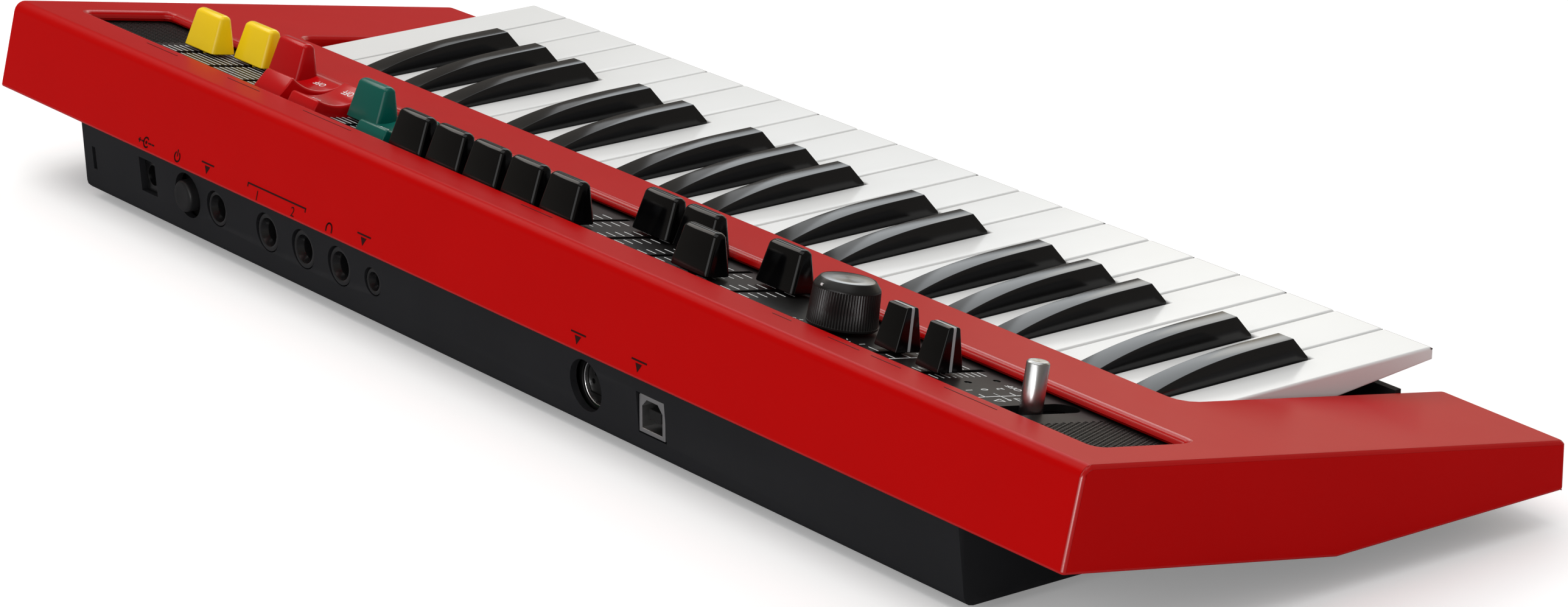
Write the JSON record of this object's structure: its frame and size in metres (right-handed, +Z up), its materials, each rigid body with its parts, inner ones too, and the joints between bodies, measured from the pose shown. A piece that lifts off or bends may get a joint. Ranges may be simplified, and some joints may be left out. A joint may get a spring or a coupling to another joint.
{
  "type": "combo organ",
  "caption": "Compact red combo organ with mini keys, drawbars, tone sliders, rocker tabs, a wave dial and a speed lever on a sloping deck.",
  "frame": {"origin": "middle of the footprint at the underside of the feet", "axes": "+X to the player's right along the keys, +Y away from the player to the rear sockets, +Z up"},
  "size_m": [0.53, 0.1745, 0.0602],
  "materials": {
    "case_red": "satin red moulding",
    "base_black": "matt black moulding",
    "panel_black": "dark panel",
    "key_white": "polished white",
    "key_black": "polished black",
    "cap_black": "polished black",
    "cap_red": "polished red",
    "yellow": "polished yellow",
    "green": "polished green",
    "aluminium": "turned",
    "steel": "plated sheet",
    "frame_grey": "moulded",
    "board_green": "circuit board",
    "speaker_grey": "paper cone and basket",
    "rubber": "matt rubber"
  },
  "bodies": {
    "case": {"top_case": "case_red", "bottom_case": "base_black", "control_panel": "panel_black", "key_frame": "frame_grey", "speaker_left": "speaker_grey", "speaker_right": "speaker_grey", "main_board": "board_green", "jack_board": "board_green", "panel_board": "board_green", "usb_shell": "steel", "foot_1": "rubber", "foot_2": "rubber", "foot_3": "rubber", "foot_4": "rubber"},
    "white_key_01": {"white_key_01": "key_white"},
    "white_key_02": {"white_key_02": "key_white"},
    "white_key_03": {"white_key_03": "key_white"},
    "white_key_04": {"white_key_04": "key_white"},
    "white_key_05": {"white_key_05": "key_white"},
    "white_key_06": {"white_key_06": "key_white"},
    "white_key_07": {"white_key_07": "key_white"},
    "white_key_08": {"white_key_08": "key_white"},
    "white_key_09": {"white_key_09": "key_white"},
    "white_key_10": {"white_key_10": "key_white"},
    "white_key_11": {"white_key_11": "key_white"},
    "white_key_12": {"white_key_12": "key_white"},
    "white_key_13": {"white_key_13": "key_white"},
    "white_key_14": {"white_key_14": "key_white"},
    "white_key_15": {"white_key_15": "key_white"},
    "white_key_16": {"white_key_16": "key_white"},
    "white_key_17": {"white_key_17": "key_white"},
    "white_key_18": {"white_key_18": "key_white"},
    "white_key_19": {"white_key_19": "key_white"},
    "white_key_20": {"white_key_20": "key_white"},
    "white_key_21": {"white_key_21": "key_white"},
    "white_key_22": {"white_key_22": "key_white"},
    "black_keys_1": {"black_keys_1": "key_black"},
    "black_keys_2": {"black_keys_2": "key_black"},
    "black_keys_3": {"black_keys_3": "key_black"},
    "slider_distortion": {"slider_distortion": "yellow"},
    "slider_reverb": {"slider_reverb": "yellow"},
    "slider_vibrato": {"slider_vibrato": "cap_red"},
    "slider_percussion": {"slider_percussion": "green"},
    "drawbar_1": {"drawbar_1": "cap_black"},
    "drawbar_2": {"drawbar_2": "cap_black"},
    "drawbar_3": {"drawbar_3": "cap_black"},
    "drawbar_4": {"drawbar_4": "cap_black"},
    "drawbar_5": {"drawbar_5": "cap_black"},
    "drawbar_6": {"drawbar_6": "cap_black"},
    "drawbar_7": {"drawbar_7": "cap_black"},
    "drawbar_8": {"drawbar_8": "cap_black"},
    "drawbar_9": {"drawbar_9": "cap_black"},
    "slider_octave": {"slider_octave": "cap_black"},
    "slider_volume": {"slider_volume": "cap_black"},
    "rocker_chorus": {"rocker_chorus": "cap_red"},
    "rocker_percussion": {"rocker_percussion": "cap_red"},
    "rocker_harmonic": {"rocker_harmonic": "green"},
    "wave_dial": {"wave_dial": "cap_black"},
    "speed_lever": {"speed_lever": "aluminium"},
    "power_button": {"power_button": "cap_black"}
  },
  "joints": [
    {"name": "white_key_01_press", "type": "hinge", "parent": "case", "child": "white_key_01", "pos_m": [-0.20454, 0.0225, 0.0285], "axis": [1, 0, 0], "range_deg": [0, 2.1], "stiffness_Nm_per_rad": 0.4, "springref_deg": -6.88},
    {"name": "white_key_02_press", "type": "hinge", "parent": "case", "child": "white_key_02", "pos_m": [-0.18506, 0.0225, 0.0285], "axis": [1, 0, 0], "range_deg": [0, 2.1], "stiffness_Nm_per_rad": 0.4, "springref_deg": -6.88},
    {"name": "white_key_03_press", "type": "hinge", "parent": "case", "child": "white_key_03", "pos_m": [-0.16558, 0.0225, 0.0285], "axis": [1, 0, 0], "range_deg": [0, 2.1], "stiffness_Nm_per_rad": 0.4, "springref_deg": -6.88},
    {"name": "white_key_04_press", "type": "hinge", "parent": "case", "child": "white_key_04", "pos_m": [-0.1461, 0.0225, 0.0285], "axis": [1, 0, 0], "range_deg": [0, 2.1], "stiffness_Nm_per_rad": 0.4, "springref_deg": -6.88},
    {"name": "white_key_05_press", "type": "hinge", "parent": "case", "child": "white_key_05", "pos_m": [-0.12662, 0.0225, 0.0285], "axis": [1, 0, 0], "range_deg": [0, 2.1], "stiffness_Nm_per_rad": 0.4, "springref_deg": -6.88},
    {"name": "white_key_06_press", "type": "hinge", "parent": "case", "child": "white_key_06", "pos_m": [-0.10714, 0.0225, 0.0285], "axis": [1, 0, 0], "range_deg": [0, 2.1], "stiffness_Nm_per_rad": 0.4, "springref_deg": -6.88},
    {"name": "white_key_07_press", "type": "hinge", "parent": "case", "child": "white_key_07", "pos_m": [-0.08766, 0.0225, 0.0285], "axis": [1, 0, 0], "range_deg": [0, 2.1], "stiffness_Nm_per_rad": 0.4, "springref_deg": -6.88},
    {"name": "white_key_08_press", "type": "hinge", "parent": "case", "child": "white_key_08", "pos_m": [-0.06818, 0.0225, 0.0285], "axis": [1, 0, 0], "range_deg": [0, 2.1], "stiffness_Nm_per_rad": 0.4, "springref_deg": -6.88},
    {"name": "white_key_09_press", "type": "hinge", "parent": "case", "child": "white_key_09", "pos_m": [-0.0487, 0.0225, 0.0285], "axis": [1, 0, 0], "range_deg": [0, 2.1], "stiffness_Nm_per_rad": 0.4, "springref_deg": -6.88},
    {"name": "white_key_10_press", "type": "hinge", "parent": "case", "child": "white_key_10", "pos_m": [-0.02922, 0.0225, 0.0285], "axis": [1, 0, 0], "range_deg": [0, 2.1], "stiffness_Nm_per_rad": 0.4, "springref_deg": -6.88},
    {"name": "white_key_11_press", "type": "hinge", "parent": "case", "child": "white_key_11", "pos_m": [-0.00974, 0.0225, 0.0285], "axis": [1, 0, 0], "range_deg": [0, 2.1], "stiffness_Nm_per_rad": 0.4, "springref_deg": -6.88},
    {"name": "white_key_12_press", "type": "hinge", "parent": "case", "child": "white_key_12", "pos_m": [0.00974, 0.0225, 0.0285], "axis": [1, 0, 0], "range_deg": [0, 2.1], "stiffness_Nm_per_rad": 0.4, "springref_deg": -6.88},
    {"name": "white_key_13_press", "type": "hinge", "parent": "case", "child": "white_key_13", "pos_m": [0.02922, 0.0225, 0.0285], "axis": [1, 0, 0], "range_deg": [0, 2.1], "stiffness_Nm_per_rad": 0.4, "springref_deg": -6.88},
    {"name": "white_key_14_press", "type": "hinge", "parent": "case", "child": "white_key_14", "pos_m": [0.0487, 0.0225, 0.0285], "axis": [1, 0, 0], "range_deg": [0, 2.1], "stiffness_Nm_per_rad": 0.4, "springref_deg": -6.88},
    {"name": "white_key_15_press", "type": "hinge", "parent": "case", "child": "white_key_15", "pos_m": [0.06818, 0.0225, 0.0285], "axis": [1, 0, 0], "range_deg": [0, 2.1], "stiffness_Nm_per_rad": 0.4, "springref_deg": -6.88},
    {"name": "white_key_16_press", "type": "hinge", "parent": "case", "child": "white_key_16", "pos_m": [0.08766, 0.0225, 0.0285], "axis": [1, 0, 0], "range_deg": [0, 2.1], "stiffness_Nm_per_rad": 0.4, "springref_deg": -6.88},
    {"name": "white_key_17_press", "type": "hinge", "parent": "case", "child": "white_key_17", "pos_m": [0.10714, 0.0225, 0.0285], "axis": [1, 0, 0], "range_deg": [0, 2.1], "stiffness_Nm_per_rad": 0.4, "springref_deg": -6.88},
    {"name": "white_key_18_press", "type": "hinge", "parent": "case", "child": "white_key_18", "pos_m": [0.12662, 0.0225, 0.0285], "axis": [1, 0, 0], "range_deg": [0, 2.1], "stiffness_Nm_per_rad": 0.4, "springref_deg": -6.88},
    {"name": "white_key_19_press", "type": "hinge", "parent": "case", "child": "white_key_19", "pos_m": [0.1461, 0.0225, 0.0285], "axis": [1, 0, 0], "range_deg": [0, 2.1], "stiffness_Nm_per_rad": 0.4, "springref_deg": -6.88},
    {"name": "white_key_20_press", "type": "hinge", "parent": "case", "child": "white_key_20", "pos_m": [0.16558, 0.0225, 0.0285], "axis": [1, 0, 0], "range_deg": [0, 2.1], "stiffness_Nm_per_rad": 0.4, "springref_deg": -6.88},
    {"name": "white_key_21_press", "type": "hinge", "parent": "case", "child": "white_key_21", "pos_m": [0.18506, 0.0225, 0.0285], "axis": [1, 0, 0], "range_deg": [0, 2.1], "stiffness_Nm_per_rad": 0.4, "springref_deg": -6.88},
    {"name": "white_key_22_press", "type": "hinge", "parent": "case", "child": "white_key_22", "pos_m": [0.20454, 0.0225, 0.0285], "axis": [1, 0, 0], "range_deg": [0, 2.1], "stiffness_Nm_per_rad": 0.4, "springref_deg": -6.88},
    {"name": "black_keys_1_press", "type": "hinge", "parent": "case", "child": "black_keys_1", "pos_m": [-0.13846, 0.0225, 0.0285], "axis": [1, 0, 0], "range_deg": [0, 2.6], "stiffness_Nm_per_rad": 0.6, "springref_deg": -6.88},
    {"name": "black_keys_2_press", "type": "hinge", "parent": "case", "child": "black_keys_2", "pos_m": [-0.0021, 0.0225, 0.0285], "axis": [1, 0, 0], "range_deg": [0, 2.6], "stiffness_Nm_per_rad": 0.6, "springref_deg": -6.88},
    {"name": "black_keys_3_press", "type": "hinge", "parent": "case", "child": "black_keys_3", "pos_m": [0.13426, 0.0225, 0.0285], "axis": [1, 0, 0], "range_deg": [0, 2.6], "stiffness_Nm_per_rad": 0.6, "springref_deg": -6.88},
    {"name": "slider_distortion_slide", "type": "slide", "parent": "case", "child": "slider_distortion", "axis": [0, 0.9837, 0.1797], "range_m": [-0.0059, 0.0136]},
    {"name": "slider_reverb_slide", "type": "slide", "parent": "case", "child": "slider_reverb", "axis": [0, 0.9837, 0.1797], "range_m": [0, 0.0195]},
    {"name": "slider_vibrato_slide", "type": "slide", "parent": "case", "child": "slider_vibrato", "axis": [0, 0.9837, 0.1797], "range_m": [0, 0.0195]},
    {"name": "slider_percussion_slide", "type": "slide", "parent": "case", "child": "slider_percussion", "axis": [0, 0.9837, 0.1797], "range_m": [-0.0084, 0.0111]},
    {"name": "drawbar_1_slide", "type": "slide", "parent": "case", "child": "drawbar_1", "axis": [0, 0.9837, 0.1797], "range_m": [-0.0195, 0]},
    {"name": "drawbar_2_slide", "type": "slide", "parent": "case", "child": "drawbar_2", "axis": [0, 0.9837, 0.1797], "range_m": [-0.0195, 0]},
    {"name": "drawbar_3_slide", "type": "slide", "parent": "case", "child": "drawbar_3", "axis": [0, 0.9837, 0.1797], "range_m": [-0.0195, 0]},
    {"name": "drawbar_4_slide", "type": "slide", "parent": "case", "child": "drawbar_4", "axis": [0, 0.9837, 0.1797], "range_m": [-0.0195, 0]},
    {"name": "drawbar_5_slide", "type": "slide", "parent": "case", "child": "drawbar_5", "axis": [0, 0.9837, 0.1797], "range_m": [-0.0195, 0]},
    {"name": "drawbar_6_slide", "type": "slide", "parent": "case", "child": "drawbar_6", "axis": [0, 0.9837, 0.1797], "range_m": [-0.0002, 0.0193]},
    {"name": "drawbar_7_slide", "type": "slide", "parent": "case", "child": "drawbar_7", "axis": [0, 0.9837, 0.1797], "range_m": [-0.0002, 0.0193]},
    {"name": "drawbar_8_slide", "type": "slide", "parent": "case", "child": "drawbar_8", "axis": [0, 0.9837, 0.1797], "range_m": [-0.0151, 0.0044]},
    {"name": "drawbar_9_slide", "type": "slide", "parent": "case", "child": "drawbar_9", "axis": [0, 0.9837, 0.1797], "range_m": [-0.0002, 0.0193]},
    {"name": "slider_octave_slide", "type": "slide", "parent": "case", "child": "slider_octave", "axis": [0, 0.9837, 0.1797], "range_m": [-0.0105, 0.009]},
    {"name": "slider_volume_slide", "type": "slide", "parent": "case", "child": "slider_volume", "axis": [0, 0.9837, 0.1797], "range_m": [-0.0124, 0.0071]},
    {"name": "rocker_chorus_tip", "type": "hinge", "parent": "case", "child": "rocker_chorus", "pos_m": [0.144, 0.0511, 0.04049], "axis": [1, 0, 0], "range_deg": [-15, 0]},
    {"name": "rocker_percussion_tip", "type": "hinge", "parent": "case", "child": "rocker_percussion", "pos_m": [0.1246, 0.0511, 0.04049], "axis": [1, 0, 0], "range_deg": [0, 15]},
    {"name": "rocker_harmonic_tip", "type": "hinge", "parent": "case", "child": "rocker_harmonic", "pos_m": [0.0869, 0.0511, 0.04049], "axis": [1, 0, 0], "range_deg": [0, 15]},
    {"name": "wave_dial_turn", "type": "hinge", "parent": "case", "child": "wave_dial", "pos_m": [-0.1274, 0.04937, 0.04831], "axis": [0, -0.1797, 0.9837], "range_deg": [-60, 60]},
    {"name": "speed_lever_slide", "type": "slide", "parent": "case", "child": "speed_lever", "axis": [0, 0.9837, 0.1797], "range_m": [-0.0102, 0.0088]},
    {"name": "power_button_press", "type": "slide", "parent": "case", "child": "power_button", "axis": [0, -1, 0], "range_m": [0, 0.002], "stiffness_N_per_m": 500, "springref_m": -0.002}
  ]
}
